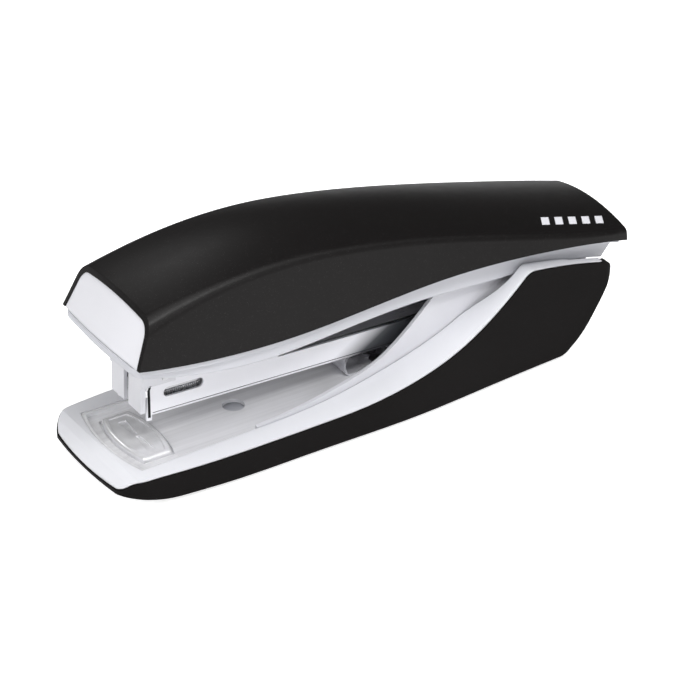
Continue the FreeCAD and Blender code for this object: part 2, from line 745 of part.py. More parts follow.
def make_staple_rail():
    """The inverted channel that the staples straddle, slotted for the pusher's hook."""
    body = new_body("staple_rail")
    low = "mag_floor + floor_gauge"
    side = new_sketch(body, "XZ_Plane")
    outline(side, [
        ("rail_front", low), ("rail_rear", low), ("rail_rear", "mag_top"), ("rail_front", "mag_top"),
    ])
    pad(body, side, "2 * rail_half", both_ways=True)
    inside = new_sketch(body, "YZ_Plane", -70.0)
    inner = "rail_half - rail_gauge"
    outline(inside, [
        (f"-({inner})", 5.0), (inner, 5.0), (inner, "mag_top - rail_gauge"),
        (f"-({inner})", "mag_top - rail_gauge"),
    ])
    pocket(body, inside, TALL, upwards=True)
    slot = new_sketch(body, "XY_Plane", "mag_top")
    outline(slot, [
        ("hook_x - 1.5", -1.5), ("hook_x + 53", -1.5), ("hook_x + 53", 1.5), ("hook_x - 1.5", 1.5),
    ])
    pocket(body, slot, 2.0)
    view = new_sketch(body, "XZ_Plane")
    outline(view, [
        ("window_front - 0.5", "window_z - 3.4"), ("window_rear + 0.5", "window_z - 3.4"),
        ("window_rear + 0.5", "window_z - 0.2"), ("window_front - 0.5", "window_z - 0.2"),
    ])
    pocket(body, view, 40.0, both_ways=True)
    return tilted(body)


def make_front_plate():
    """The plate that closes the nose of the magazine, folded at both edges, with a long slot."""
    body = new_body("front_plate")
    face = new_sketch(body, "YZ_Plane", "plate_front")
    outline(face, [
        ("-mag_half", "plate_low"), ("-plate_slot / 2", "plate_low"), ("-plate_slot / 2", "mag_high - 2"),
        ("plate_slot / 2", "mag_high - 2"), ("plate_slot / 2", "plate_low"), ("mag_half", "plate_low"),
        ("mag_half", "mag_high"), ("-mag_half", "mag_high"),
    ])
    pad(body, face, "plate_thick")
    folds = new_sketch(body, "YZ_Plane", "plate_front")
    for side in ("-", ""):
        outline(folds, [
            (f"{side}mag_half", "plate_low"), (f"{side}(mag_half - 0.5)", "plate_low"),
            (f"{side}(mag_half - 0.5)", "mag_high"), (f"{side}mag_half", "mag_high"),
        ])
    pad(body, folds, "plate_fold")
    straps = new_sketch(body, "YZ_Plane", "plate_front")
    for side in ("-", ""):
        outline(straps, [
            (f"{side}(mag_half - 0.2)", "mag_high - 3.2"), (f"{side}(mag_half + 0.8)", "mag_high - 3.2"),
            (f"{side}(mag_half + 0.8)", "mag_high"), (f"{side}(mag_half - 0.2)", "mag_high"),
        ])
    pad(body, straps, "plate_fold")
    ears = new_sketch(body, "YZ_Plane", "plate_front")
    for side in ("-", ""):
        outline(ears, [
            (f"{side}(mag_half + 0.05)", "mag_high - 3.2"), (f"{side}(mag_half + 0.8)", "mag_high - 3.2"),
            (f"{side}(mag_half + 0.8)", "mag_high"), (f"{side}(mag_half + 0.05)", "mag_high"),
        ])
    pad(body, ears, 9.0)
    return tilted(body)


def make_plate_rivets():
    """Short rivets that hold the front plate's ears to the channel."""
    things = []
    for k, side in enumerate((-1, 1)):
        y = -size("mag_half + 1.3") if side < 0 else size("mag_half - mag_wall - 0.3")
        name = f"plate_rivet_{k}"
        rivet = cylinder(name, "plate_front + 6", y, "mag_high - 1.6", 1.6, "mag_wall + 1.6", "Y")
        things.append(rivet)
    whole = group("plate_rivets", things)
    whole.Placement = turned(size("tilt"))
    return whole


def make_spring_anchor():
    """The bent tab at the nose end of the rail that the two pusher springs hook on to."""
    body = new_body("spring_anchor")
    side = new_sketch(body, "XZ_Plane")
    low = "mag_floor + floor_gauge"
    outline(side, [
        ("rail_front + 1.6", low), ("rail_front + 7", low), ("rail_front + 7", f"{low} + 0.5"),
        ("rail_front + 2.2", f"{low} + 0.5"), ("rail_front + 2.2", "spring_z + 1"),
        ("rail_front + 1.6", "spring_z + 1"),
    ])
    pad(body, side, "2 * (rail_half - rail_gauge) - 0.2", both_ways=True)
    return tilted(body)


def make_rear_stop():
    """The moulded block that closes the rail's tail and stops the pusher."""
    body = new_body("rear_stop")
    side = new_sketch(body, "XZ_Plane")
    low = "mag_floor + floor_gauge"
    outline(side, [
        ("rail_rear + 0.1", low), ("rail_rear + 2.6", low), ("rail_rear + 2.6", "mag_top + 1.6"),
        ("rail_rear + 0.1", "mag_top + 1.6"),
    ])
    pad(body, side, "2 * (mag_half - mag_wall) - 0.1", both_ways=True)
    return tilted(body)


def make_pusher_springs():
    """Two close-wound extension springs inside the rail, drawn as tubes of their coils."""
    things = []
    start = "rail_front + 2.3"
    for k, side in enumerate(("-", "")):
        tube = []
        for name, diameter in (("coil", "spring_size"), ("core", "spring_size - 2 * spring_wire")):
            rod = doc.addObject("Part::Cylinder", f"pusher_spring_{name}_{k}")
            bind(rod, "Radius", f"({diameter}) / 2")
            bind(rod, "Height", f"hook_x - ({start}) - 0.1")
            rod.Placement = Placement(
                Vector(size(start), size(f"{side}spring_y"), size("spring_z")),
                Rotation(Vector(0, 1, 0), 90),
            )
            rod.setExpression(".Placement.Base.x", bound(start))
            rod.setExpression(".Placement.Base.y", bound(f"{side}spring_y"))
            rod.setExpression(".Placement.Base.z", bound("spring_z"))
            tube.append(rod)
        cut = doc.addObject("Part::Cut", f"pusher_spring_{k}")
        cut.Base = tube[0]
        cut.Tool = tube[1]
        things.append(cut)
    whole = group("pusher_springs", things)
    whole.Placement = turned(size("tilt"))
    return whole


def make_head_spring():
    """The torsion spring round the hinge pin that lifts the head off the magazine."""
    px = size("pivot_x")
    pz = size("pivot_z")
    tube = Part.makeCylinder(4.2, 9.0, Vector(px, -4.5, pz), Vector(0, 1, 0))
    tube = tube.cut(Part.makeCylinder(3.2, 9.0, Vector(px, -4.5, pz), Vector(0, 1, 0)))
    lower = Part.makeBox(14.0, 0.8, 0.8, Vector(px - 14.0, -4.3, pz - 4.0))
    upper = Part.makeBox(14.0, 0.8, 0.8, Vector(px - 14.0, 3.5, pz + 3.2))
    return feature("head_spring", tube.fuse([lower, upper]).removeSplitter())


def make_pusher():
    """The follower: a saddle on the rail, a tongue to the nose, a finger tab and a spring hook."""
    body = new_body("pusher")
    top = "mag_top + 0.2"
    tongue = new_sketch(body, "XY_Plane", top)
    outline(tongue, [
        ("rail_front + 0.4", -5.2), ("window_rear + 1", -5.2), ("window_rear + 1", -6.2),
        ("hook_x + 4", -6.2),
        ("hook_x + 4", 6.2), ("window_rear + 1", 6.2), ("window_rear + 1", 5.2), ("rail_front + 0.4", 5.2),
    ])
    pad(body, tongue, 0.8)
    legs = new_sketch(body, "XY_Plane", "mag_floor + floor_gauge + 0.3")
    for side in ("-", ""):
        outline(legs, [
            ("window_rear + 1", f"{side}5.9"), ("hook_x + 4", f"{side}5.9"),
            ("hook_x + 4", f"{side}6.25"), ("window_rear + 1", f"{side}6.25"),
        ])
    pad(body, legs, "mag_top + 1.0 - mag_floor - floor_gauge - 0.3")
    tab = new_sketch(body, "YZ_Plane", "hook_x + 3")
    outline(tab, [
        (-4.0, "mag_top + 0.2"), (4.0, "mag_top + 0.2"), (4.0, "mag_top + 4"), (-4.0, "mag_top + 4"),
    ])
    pad(body, tab, 1.0)
    hook = new_sketch(body, "YZ_Plane", "hook_x")
    outline(hook, [
        (-1.1, "mag_top + 0.6"), (-1.1, "spring_z + 1"), (-4.6, "spring_z + 1"), (-4.6, "spring_z - 1"),
        (4.6, "spring_z - 1"), (4.6, "spring_z + 1"), (1.1, "spring_z + 1"), (1.1, "mag_top + 0.6"),
    ])
    pad(body, hook, 1.0)
    return tilted(body)


# ---------------------------------------------------------------- head


def cover_section(x, inset, drop=0.0):
    """Half of the cover's outline at x, as (y, z): its side, its rounded shoulder and its crown."""
    hem = height(HEM, x)
    top = height(SHOULDER, x) - inset
    crown = height(CROWN, x)
    half = height(COVER_HALF, x) - inset
    radius = max(LEAST_CORNER, min(height(CORNER, x), CORNER_SHARE * (top + inset - hem)) - 0.6 * inset)
    tall = top - radius - hem
    lean = min(MOST_LEAN, LEAN_SHARE * tall)
    first = math.atan2(lean, tall)
    last = math.pi / 2 - math.atan2(2 * crown, half - lean - radius)
    side_y = half - lean
    side_z = top - radius * (math.sin(last) - math.sin(first))
    side = [(half + lean * drop / tall, hem - drop), (side_y, side_z)]
    shoulder = []
    for step in range(5):
        angle = first + (last - first) * step / 4
        shoulder.append((side_y - radius * (math.cos(first) - math.cos(angle)),
                         side_z + radius * (math.sin(angle) - math.sin(first))))
    edge_y = shoulder[-1][0]
    over = [(edge_y * share, top + crown * (1 - share ** 2)) for share in (1.0, 0.5, 0.0)]
    return side, shoulder, over


def section_wire(x, inset, drop=0.0):
    """The cover's closed outline at x, with the same six edges at every x."""
    side, shoulder, over = cover_section(x, inset, drop)
    near = [[(x, -y, z) for y, z in stretch] for stretch in (side, shoulder, over)]
    far = [[(x, y, z) for y, z in reversed(stretch)] for stretch in (over, shoulder, side)]
    return Part.Wire([
        line(*near[0]),
        curve(near[1]),
        curve(near[2] + far[0][1:]),
        curve(far[1]),
        line(*far[2]),
        line(far[2][-1], near[0][0]),
    ])


COVER_STATIONS = [-71.0, -62.0, -52.0, -38.0, -22.0, -4.0, 16.0, 36.0, 54.0, 66.0]


def cover_solid(inset, rear, drop=0.0):
    """The cover's outer form, drawn in by inset."""
    wires = [section_wire(x, inset, drop) for x in COVER_STATIONS]
    wires.append(section_wire(rear, inset, drop))
    return Part.makeLoft(wires, True, False)


def nose_slab(front, back):
    """Everything between two bowed planes that lean back like the nose, by how far behind it."""
    lean = 0.46
    low = -10.0
    tall = 80.0
    foot_x = -69.6 + (low - 36.0) * lean
    wide = 40.0
    swept = 3.8
    bow = 0.9
    edges = []
    for x in (foot_x + front, foot_x + back):
        edges.append(arc((x + swept, -wide, low), (x - bow, 0, low), (x + swept, wide, low)))
    for y in (-wide, wide):
        edges.append(line((foot_x + front + swept, y, low), (foot_x + back + swept, y, low)))
    return face_of(edges).extrude(Vector(lean * tall, 0, tall))


BOSSES = [-30.0, 12.0]


def make_top_cover():
    gauge = size("head_gauge")
    shell = cover_solid(0, 74.7).cut(cover_solid(gauge, 74.7 - gauge, 8.0))
    shell = shell.cut(nose_slab(-30, 0))
    posts = []
    for x in BOSSES:
        top = height(SHOULDER, x) + 1.0
        low = arm_top(x) + 0.35
        post = Part.makeCylinder(3.2, top - low, Vector(x, 0, low))
        posts.append(post.cut(Part.makeCylinder(1.3, 8.0, Vector(x, 0, low))))
    return feature("top_cover", shell.fuse(posts).removeSplitter())


def make_nose_cap():
    """The white face of the nose, set inside the cover's front edge."""
    inner = cover_solid(size("head_gauge") + 0.08, 70.0, 8.0)
    gap = [(x, z - 0.1) for x, z in HEM]
    far_below = [(x, z - 20.0) for x, z in HEM]
    below = across(strip_profile(gap, far_below), 40)
    return feature("nose_cap", inner.common(nose_slab(0.3, 2.0)).cut(below))


# Half widths of the head frame's lip: (x, half width).
LIP_SIDE = [(-67.4, 17.05), (-58.0, 17.0), (-45.0, 16.6), (-30.0, 16.2), (0.0, 15.6), (24.0, 14.8),
            (40.0, 14.2), (58.0, 13.7), (73.2, 13.5)]


def band_plan(inset):
    """The head frame's outline from above, drawn in by inset."""
    nose = -69.6 + inset
    rear = 74.4 - inset
    across_nose = 15.0 - inset * 0.8
    edges = [arc((nose + 0.7, -across_nose, 0), (nose, 0, 0), (nose + 0.7, across_nose, 0))]
    for side in (-1, 1):
        wall = [(LIP_SIDE[0][0] + inset, side * (LIP_SIDE[0][1] - inset), 0)]
        wall += [(x, side * (w - inset), 0) for x, w in LIP_SIDE[1:-1]]
        wall.append((LIP_SIDE[-1][0] - inset, side * (LIP_SIDE[-1][1] - inset), 0))
        edges.append(arc((nose + 0.7, side * across_nose, 0),
                         (nose + 1.3, side * (16.3 - inset * 0.95), 0), wall[0]))
        edges.append(curve(wall))
        bend = (rear - 0.35, side * (13.15 - inset), 0)
        edges.append(arc(wall[-1], bend, (rear, side * (12.3 - inset), 0)))
    edges.append(line((rear, -(12.3 - inset), 0), (rear, 12.3 - inset, 0)))
    return edges


def strip_profile(top, bottom):
    """The stretch between two tables of heights, from the side."""
    a = [(x, 0, z) for x, z in top]
    b = [(x, 0, z) for x, z in bottom]
    return [curve(a), line(a[-1], b[-1]), curve(b), line(b[0], a[0])]


def make_head_frame():
    """The white frame under the cover: an upper lip and, set in below it, a deeper band."""
    wall = size("head_gauge")
    lip = size("lip_tall")
    lip_top = [(x, z - 0.25) for x, z in HEM]
    lip_under = [(x, z - lip) for x, z in HEM]
    hem_inside = [(x, z + 1.8 - 1.2 * max(0.0, x / HEM[-1][0])) for x, z in HEM]
    upper = upward(band_plan(0), 0, 60).common(across(strip_profile(lip_top, lip_under), 40))
    tongue = upward(band_plan(1.1), 0, 60).common(across(strip_profile(hem_inside, lip_under), 40))
    tail_cut = across([line((72.9, 0, 28.0), (66.2, 0, 19.9)), line((66.2, 0, 19.9), (90.0, 0, 19.9)),
                       line((90.0, 0, 19.9), (90.0, 0, 28.0)), line((90.0, 0, 28.0), (72.9, 0, 28.0))], 40)
    lower = upward(band_plan(1.3), 0, 60).common(across(strip_profile(lip_under, BAND), 40)).cut(tail_cut)
    tongue = tongue.cut(nose_slab(-30.0, 2.3))
    ring = upper.fuse([tongue, lower]).cut(upward(band_plan(1.3 + wall), 0, 60))
    return feature("head_frame", ring.removeSplitter())


ARM_TOP = [(-59.2, 41.4), (-20.0, 39.8), (30.0, 36.0), (61.0, 31.0)]


def arm_top(x):
    """Top of the driver arm's web at x: straight runs between its bends."""
    for (x0, z0), (x1, z1) in zip(ARM_TOP, ARM_TOP[1:]):
        if x0 <= x <= x1:
            return z0 + (z1 - z0) * (x - x0) / (x1 - x0)
    raise ValueError("outside the arm")


def make_driver_arm():
    """The steel lever that carries the driver: a pressed channel hinged on the pin."""
    body = new_body("driver_arm")
    side = new_sketch(body, "XZ_Plane")
    outline(side, [
        (-59.2, 38.6), (-20.0, 35.6), (20.0, 31.5), (44.0, 27.0), ("pivot_x - 4", "pivot_z - 5"),
        ("pivot_x + 4", "pivot_z - 5"), ("pivot_x + 5", "pivot_z + 2"), *reversed(ARM_TOP),
    ])
    pad(body, side, "2 * arm_half", both_ways=True)
    inside = new_sketch(body, "XZ_Plane")
    outline(inside, [
        (-70.0, 30.0), (-70.0, 40.84), (-20.0, 38.8), (30.0, 35.0), (48.0, 32.1), (48.0, 50.0),
        (80.0, 50.0), (80.0, 5.0), (20.0, 5.0),
    ])
    pocket(body, inside, "2 * (arm_half - arm_gauge)", both_ways=True)
    bore = new_sketch(body, "XZ_Plane")
    circle(bore, "pivot_x", "pivot_z", "pin_size + 2 * pin_gap")
    pocket(body, bore, 40.0, both_ways=True)
    holes = new_sketch(body, "XY_Plane", 25.0)
    for x in BOSSES:
        circle(holes, x, 0, 3.0)
    pocket(body, holes, 30.0, upwards=True)
    return body


def make_driver_blade():
    """The hardened blade that drives one staple, bent back at the top under the arm."""
    body = new_body("driver_blade")
    side = new_sketch(body, "XZ_Plane")
    outline(side, [
        ("blade_x - blade_gauge / 2", "blade_low"), ("blade_x + blade_gauge / 2", "blade_low"),
        ("blade_x + blade_gauge / 2", "blade_high - blade_gauge"),
        ("blade_x + 11", "blade_high - blade_gauge"),
        ("blade_x + 11", "blade_high"), ("blade_x - blade_gauge / 2", "blade_high"),
    ])
    pad(body, side, "2 * blade_half", both_ways=True)
    return tilted(body)


def make_driver_rivets():
    """Two rivets that hold the blade's bent top under the arm's web."""
    things = []
    for k, y in enumerate((-3.5, 3.5)):
        shank = cylinder(f"driver_rivet_shank_{k}", "blade_x + 7", y, "blade_high - 1.2", 2.2, 3.0)
        caps = [cylinder(f"driver_rivet_cap_{k}_{z}", "blade_x + 7", y, f"blade_high + {z}", 4.0, 0.55)
                for z in (-1.2, 1.1)]
        things.append(fused(f"driver_rivet_{k}", [shank, *caps]))
    whole = group("driver_rivets", things)
    whole.Placement = turned(size("tilt"))
    return whole


def make_arm_screws():
    """Screws from under the arm's web up into the cover's bosses."""
    things = []
    for k, x in enumerate(BOSSES):
        top = arm_top(x)
        head = cylinder(f"arm_screw_head_{k}", x, 0, top - 3.1, 5.4, 1.8)
        shank = cylinder(f"arm_screw_shank_{k}", x, 0, top - 3.1, 2.5, 9.4)
        things.append(fused(f"arm_screw_{k}", [head, shank]))
    return group("arm_screws", things)


# ---------------------------------------------------------------- build, test and write

make_base_skin()
make_base_frame()
make_bottom_plate()
make_base_plate()
make_anvil_plate()
make_pivot_bracket()
make_rivets("bracket_rivets", BRACKET_RIVETS, size("plate_under - 0.6"), 3.0, 2.6, 5.0, 0.8)
make_hinge_pin()
make_pin_clip()
make_rubber_feet()
make_base_screws()
make_lift_spring()
make_rivets("lift_rivets", LIFT_RIVETS, size("plate_under - 0.6"), 2.4, 2.1, 4.0, 0.7)
make_magazine_channel()
make_staple_rail()
make_front_plate()
make_plate_rivets()
make_spring_anchor()
make_rear_stop()
make_pusher_springs()
make_head_spring()
make_pusher()
make_top_cover()
make_nose_cap()
make_head_frame()
make_driver_arm()
make_driver_blade()
make_driver_rivets()
make_arm_screws()

doc.recompute()
for item in doc.Objects:
    if "Invalid" in item.State or "Error" in item.State:
        raise RuntimeError(f"{item.Name} did not build: {item.State}")
os.makedirs("parts", exist_ok=True)
for piece in made:
    shape = piece.Shape
    if shape.isNull() or not shape.isValid():
        raise RuntimeError(f"{piece.Label} has no valid shape")
    shape.exportStep(f"parts/{piece.Label}.step")
    box = shape.BoundBox
    print(f"{piece.Label:18s} {len(shape.Solids)} solids {shape.Volume / 1000:7.2f} cm3"
          f" {box.XLength:6.1f} x {box.YLength:5.1f} x {box.ZLength:5.1f} mm")
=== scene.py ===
"""A desk stapler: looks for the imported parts, with its springs, trim and print added, in a plain studio."""

import math

import bmesh
import bpy
from mathutils import Matrix, Vector


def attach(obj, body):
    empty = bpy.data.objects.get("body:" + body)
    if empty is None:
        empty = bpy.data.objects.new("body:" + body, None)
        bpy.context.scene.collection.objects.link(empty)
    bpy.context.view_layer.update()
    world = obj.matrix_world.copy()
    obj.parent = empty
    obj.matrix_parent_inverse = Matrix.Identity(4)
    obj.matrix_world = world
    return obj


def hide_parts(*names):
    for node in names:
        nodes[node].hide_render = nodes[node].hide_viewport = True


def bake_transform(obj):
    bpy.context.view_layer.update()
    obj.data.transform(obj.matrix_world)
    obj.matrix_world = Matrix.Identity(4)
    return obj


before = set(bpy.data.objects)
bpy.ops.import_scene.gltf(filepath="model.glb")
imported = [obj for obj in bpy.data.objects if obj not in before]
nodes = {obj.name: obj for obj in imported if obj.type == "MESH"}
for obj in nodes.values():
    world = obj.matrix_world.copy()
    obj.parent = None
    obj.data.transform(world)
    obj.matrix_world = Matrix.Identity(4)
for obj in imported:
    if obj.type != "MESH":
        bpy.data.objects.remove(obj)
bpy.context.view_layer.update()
scene = bpy.context.scene

PIVOT = Vector((0.061, 0.0, 0.025))     # the hinge pin's middle
TILT = math.radians(2.34)               # how far the magazine rests nose-up
DOWN = Vector((0.0, 0.0, -1.0))


def from_level(point):
    """A point of the magazine drawn level, turned nose-up about the hinge pin as it rests."""
    turn = Matrix.Rotation(TILT, 4, "Y")
    return PIVOT + turn @ (Vector(point) - PIVOT)


# ------------------------------------------------------------------ camera

AIM = Vector((-0.0015, 0.0, 0.01566))
AZIMUTH = math.radians(-32.576)
ELEVATION = math.radians(31.387)
DISTANCE = 0.8452
LENS, SENSOR = 180.44, 36.0             # millimetres


def view_camera():
    camera = bpy.data.objects.new("view_camera", bpy.data.cameras.new("view_camera"))
    scene.collection.objects.link(camera)
    level = math.cos(ELEVATION)
    toward = Vector((math.sin(AZIMUTH) * level, -math.cos(AZIMUTH) * level, math.sin(ELEVATION)))
    camera.location = AIM + toward * DISTANCE
    camera.rotation_euler = (-toward).to_track_quat("-Z", "Y").to_euler()
    camera.data.lens = LENS
    camera.data.sensor_width = SENSOR
    camera.data.clip_start = 0.05
    camera.data.clip_end = 20.0
    scene.camera = camera


view_camera()
scene.view_settings.view_transform = "Standard"

# ------------------------------------------------------------------ light

MIDDLE = (0.0, 0.0, 0.02)
NOSE = (-0.05, 0.0, 0.05)

# Each lamp's name, place, size, power in watts, and the point it faces.
LAMPS = [
    ("overhead", (-0.10, -0.12, 0.75), (0.9, 0.45), 3.7, MIDDLE),
    ("nose_fill", (-0.68, -0.26, 0.40), (0.5, 0.4), 2.5, MIDDLE),
    ("near_fill", (0.02, -0.78, 0.32), (0.8, 0.22), 1.35, MIDDLE),
    ("crease_strip", (0.42, -0.50, 0.66), (0.7, 0.14), 0.9, MIDDLE),
    ("crease_front", (0.03, -0.48, 0.66), (0.22, 0.14), 2.1, NOSE),
    ("front_glow", (0.15, 0.65, 0.64), (0.25, 0.20), 0.55, NOSE),
]
SKY_IN_GLOSS = 0.07                     # the surroundings, as the object's lighting and gloss meet them
SKY_SEEN = 1.0                          # the same, as the camera sees them


def area_light(name, place, size, power, look_at):
    light = bpy.data.lights.new(name, "AREA")
    light.shape = "RECTANGLE"
    light.size, light.size_y = size
    light.energy = power
    lamp = bpy.data.objects.new(name, light)
    scene.collection.objects.link(lamp)
    lamp.location = place
    lamp.rotation_euler = (Vector(look_at) - lamp.location).to_track_quat("-Z", "Y").to_euler()


def studio_world():
    world = bpy.data.worlds.new("studio")
    scene.world = world
    world.use_nodes = True
    tree = world.node_tree
    backdrop = tree.nodes["Background"]
    seen = tree.nodes.new("ShaderNodeLightPath")
    sky = tree.nodes.new("ShaderNodeMapRange")
    sky.inputs["To Min"].default_value = SKY_IN_GLOSS
    sky.inputs["To Max"].default_value = SKY_SEEN
    tree.links.new(seen.outputs["Is Camera Ray"], sky.inputs["Value"])
    tree.links.new(sky.outputs["Result"], backdrop.inputs["Strength"])
    backdrop.inputs["Color"].default_value = (1.0, 1.0, 1.0, 1.0)


studio_world()
for lamp_facts in LAMPS:
    area_light(*lamp_facts)

# ------------------------------------------------------------------ materials


class Shader:
    """A small helper that builds a Principled material node by node."""

    def __init__(self, name, **constants):
        self.material = bpy.data.materials.new(name)
        self.material.use_nodes = True
        self.tree = self.material.node_tree
        self.surface = self.tree.nodes["Principled BSDF"]
        self.where = self.tree.nodes.new("ShaderNodeTexCoord").outputs["Object"]
        for socket, value in constants.items():
            self.surface.inputs[socket.replace("_", " ")].default_value = value

    def node(self, kind, **values):
        made = self.tree.nodes.new(kind)
        for name, value in values.items():
            setattr(made, name, value)
        return made

    def link(self, source, target):
        self.tree.links.new(source, target)

    def stretched(self, scale):
        """The object's coordinates, stretched by a scale per axis."""
        mapping = self.node("ShaderNodeMapping")
        mapping.inputs["Scale"].default_value = scale
        self.link(self.where, mapping.inputs["Vector"])
        return mapping.outputs["Vector"]

    def noise(self, scale, detail=3.0, roughness=0.5, where=None):
        texture = self.node("ShaderNodeTexNoise")
        texture.inputs["Scale"].default_value = scale
        texture.inputs["Detail"].default_value = detail
        texture.inputs["Roughness"].default_value = roughness
        self.link(where or self.where, texture.inputs["Vector"])
        return texture.outputs["Fac"]

    def cells(self, scale):
        texture = self.node("ShaderNodeTexVoronoi")
        texture.inputs["Scale"].default_value = scale
        self.link(self.where, texture.inputs["Vector"])
        return texture

    def between(self, source, low, high, from_low=0.0, from_high=1.0):
        """A value moved from one range to another, and held inside it."""
        scaled = self.node("ShaderNodeMapRange")
        scaled.inputs["From Min"].default_value = from_low
        scaled.inputs["From Max"].default_value = from_high
        scaled.inputs["To Min"].default_value = low
        scaled.inputs["To Max"].default_value = high
        self.link(source, scaled.inputs["Value"])
        return scaled.outputs["Result"]

    def patchy(self, source):
        """A noise's middle range, stretched from 0 to 1."""
        return self.between(source, 0.0, 1.0, 0.35, 0.7)

    def mix(self, amount, first, second):
        """A colour between two, each a colour or another node's output."""
        blend = self.node("ShaderNodeMix", data_type="RGBA")
        self.link(amount, blend.inputs["Factor"])
        for value, socket in ((first, blend.inputs[6]), (second, blend.inputs[7])):
            if isinstance(value, tuple):
                socket.default_value = (*value, 1.0)
            else:
                self.link(value, socket)
        return blend.outputs[2]

    def colour(self, source):
        self.link(source, self.surface.inputs["Base Color"])

    def rough(self, source):
        self.link(source, self.surface.inputs["Roughness"])

    def bump(self, source, depth, strength, edge=0.0):
        """Fine relief, over edges that look rounded to the radius edge."""
        bump = self.node("ShaderNodeBump")
        if edge:
            bevel = self.node("ShaderNodeBevel", samples=4)
            bevel.inputs["Radius"].default_value = edge
            self.link(bevel.outputs["Normal"], bump.inputs["Normal"])
        bump.inputs["Distance"].default_value = depth
        bump.inputs["Strength"].default_value = strength
        self.link(source, bump.inputs["Height"])
        self.link(bump.outputs["Normal"], self.surface.inputs["Normal"])


def darker(tone, share):
    return tuple(v * share for v in tone)


def black_plastic(name, fleck, roughness, gloss):
    """Black plastic with fine bright flecks of the colour fleck."""
    flecks_per_metre = 3600.0
    ground_low, ground_high = (0.0062, 0.0055, 0.0055), (0.0086, 0.0077, 0.0077)
    s = Shader(name, Specular_IOR_Level=gloss)
    flakes = s.cells(flecks_per_metre)
    bright = s.between(flakes.outputs["Distance"], 1.0, 0.0, 0.05, 0.22)
    pick = s.node("ShaderNodeSeparateColor")
    s.link(flakes.outputs["Color"], pick.inputs["Color"])
    chosen = s.between(pick.outputs["Red"], 0.0, 1.0, 0.62, 0.86)
    both = s.node("ShaderNodeMath", operation="MULTIPLY")
    s.link(bright, both.inputs[0])
    s.link(chosen, both.inputs[1])
    ground = s.mix(s.noise(60.0), ground_low, ground_high)
    s.colour(s.mix(both.outputs["Value"], ground, fleck))
    s.rough(s.between(s.noise(240.0, 4.0), roughness - 0.04, roughness + 0.05))
    s.bump(s.noise(5200.0, 2.0), depth=0.000012, strength=0.35, edge=0.00025)
    return s.material


def white_plastic(name, tone, roughness=0.36):
    s = Shader(name, Specular_IOR_Level=0.45)
    s.colour(s.mix(s.patchy(s.noise(35.0, 4.0)), darker(tone, 0.955), tone))
    s.rough(s.between(s.noise(420.0, 3.0), roughness - 0.05, roughness + 0.07))
    s.bump(s.noise(2600.0, 3.0), depth=0.00001, strength=0.4, edge=0.00030)
    return s.material


def enamel(name, roughness):
    """The coat, sheen and orange peel that the two painted finishes share."""
    s = Shader(name, Coat_Weight=0.25, Coat_Roughness=0.12)
    s.rough(s.between(s.noise(300.0, 3.0), roughness - 0.05, roughness + 0.07))
    s.bump(s.noise(1500.0, 2.0), depth=0.000025, strength=0.35, edge=0.00015)
    return s


def white_paint(name, tone):
    s = enamel(name, 0.3)
    s.colour(s.mix(s.patchy(s.noise(50.0, 4.0)), darker(tone, 0.94), tone))
    return s.material


def channel_paint(name, tone, shade):
    """White paint with painted shade: a dark colour over the channel's rear half, where it lies in shadow
    inside the bracket.
    """
    fade_start, fade_end = -0.034, -0.024    # where the painted shade sets in, as x less 1.6 times z
    s = enamel(name, 0.3)
    parts = s.node("ShaderNodeSeparateXYZ")
    s.link(s.where, parts.inputs["Vector"])
    slope = s.node("ShaderNodeMath", operation="MULTIPLY_ADD")
    slope.inputs[1].default_value = -1.6
    s.link(parts.outputs["Z"], slope.inputs[0])
    s.link(parts.outputs["X"], slope.inputs[2])
    painted_shade_mask = s.between(slope.outputs["Value"], 0.0, 1.0, fade_start, fade_end)
    s.colour(s.mix(painted_shade_mask, s.mix(s.noise(50.0, 4.0), darker(tone, 0.95), tone), shade))
    return s.material


def metal(name, tone, roughness, grain=(40.0, 2600.0, 2600.0), spread=0.08, depth=0.000006, metallic=1.0):
    """Metal with a grain, given as its fineness along each axis."""
    s = Shader(name, Metallic=metallic)
    streak = s.noise(1.0, 4.0, 0.6, s.stretched(grain))
    s.colour(s.mix(s.between(streak, 0.0, 1.0, 0.3, 0.7), darker(tone, 0.84), tone))
    s.rough(s.between(streak, roughness - spread, roughness + spread, 0.3, 0.7))
    s.bump(streak, depth, strength=0.5, edge=0.00012)
    return s.material


def rubber(name, tone):
    s = Shader(name, Specular_IOR_Level=0.25)
    s.colour(s.mix(s.noise(300.0, 4.0), darker(tone, 0.7), tone))
    s.rough(s.between(s.noise(900.0), 0.72, 0.9))
    s.bump(s.noise(2200.0, 4.0), depth=0.00005, strength=0.6)
    return s.material


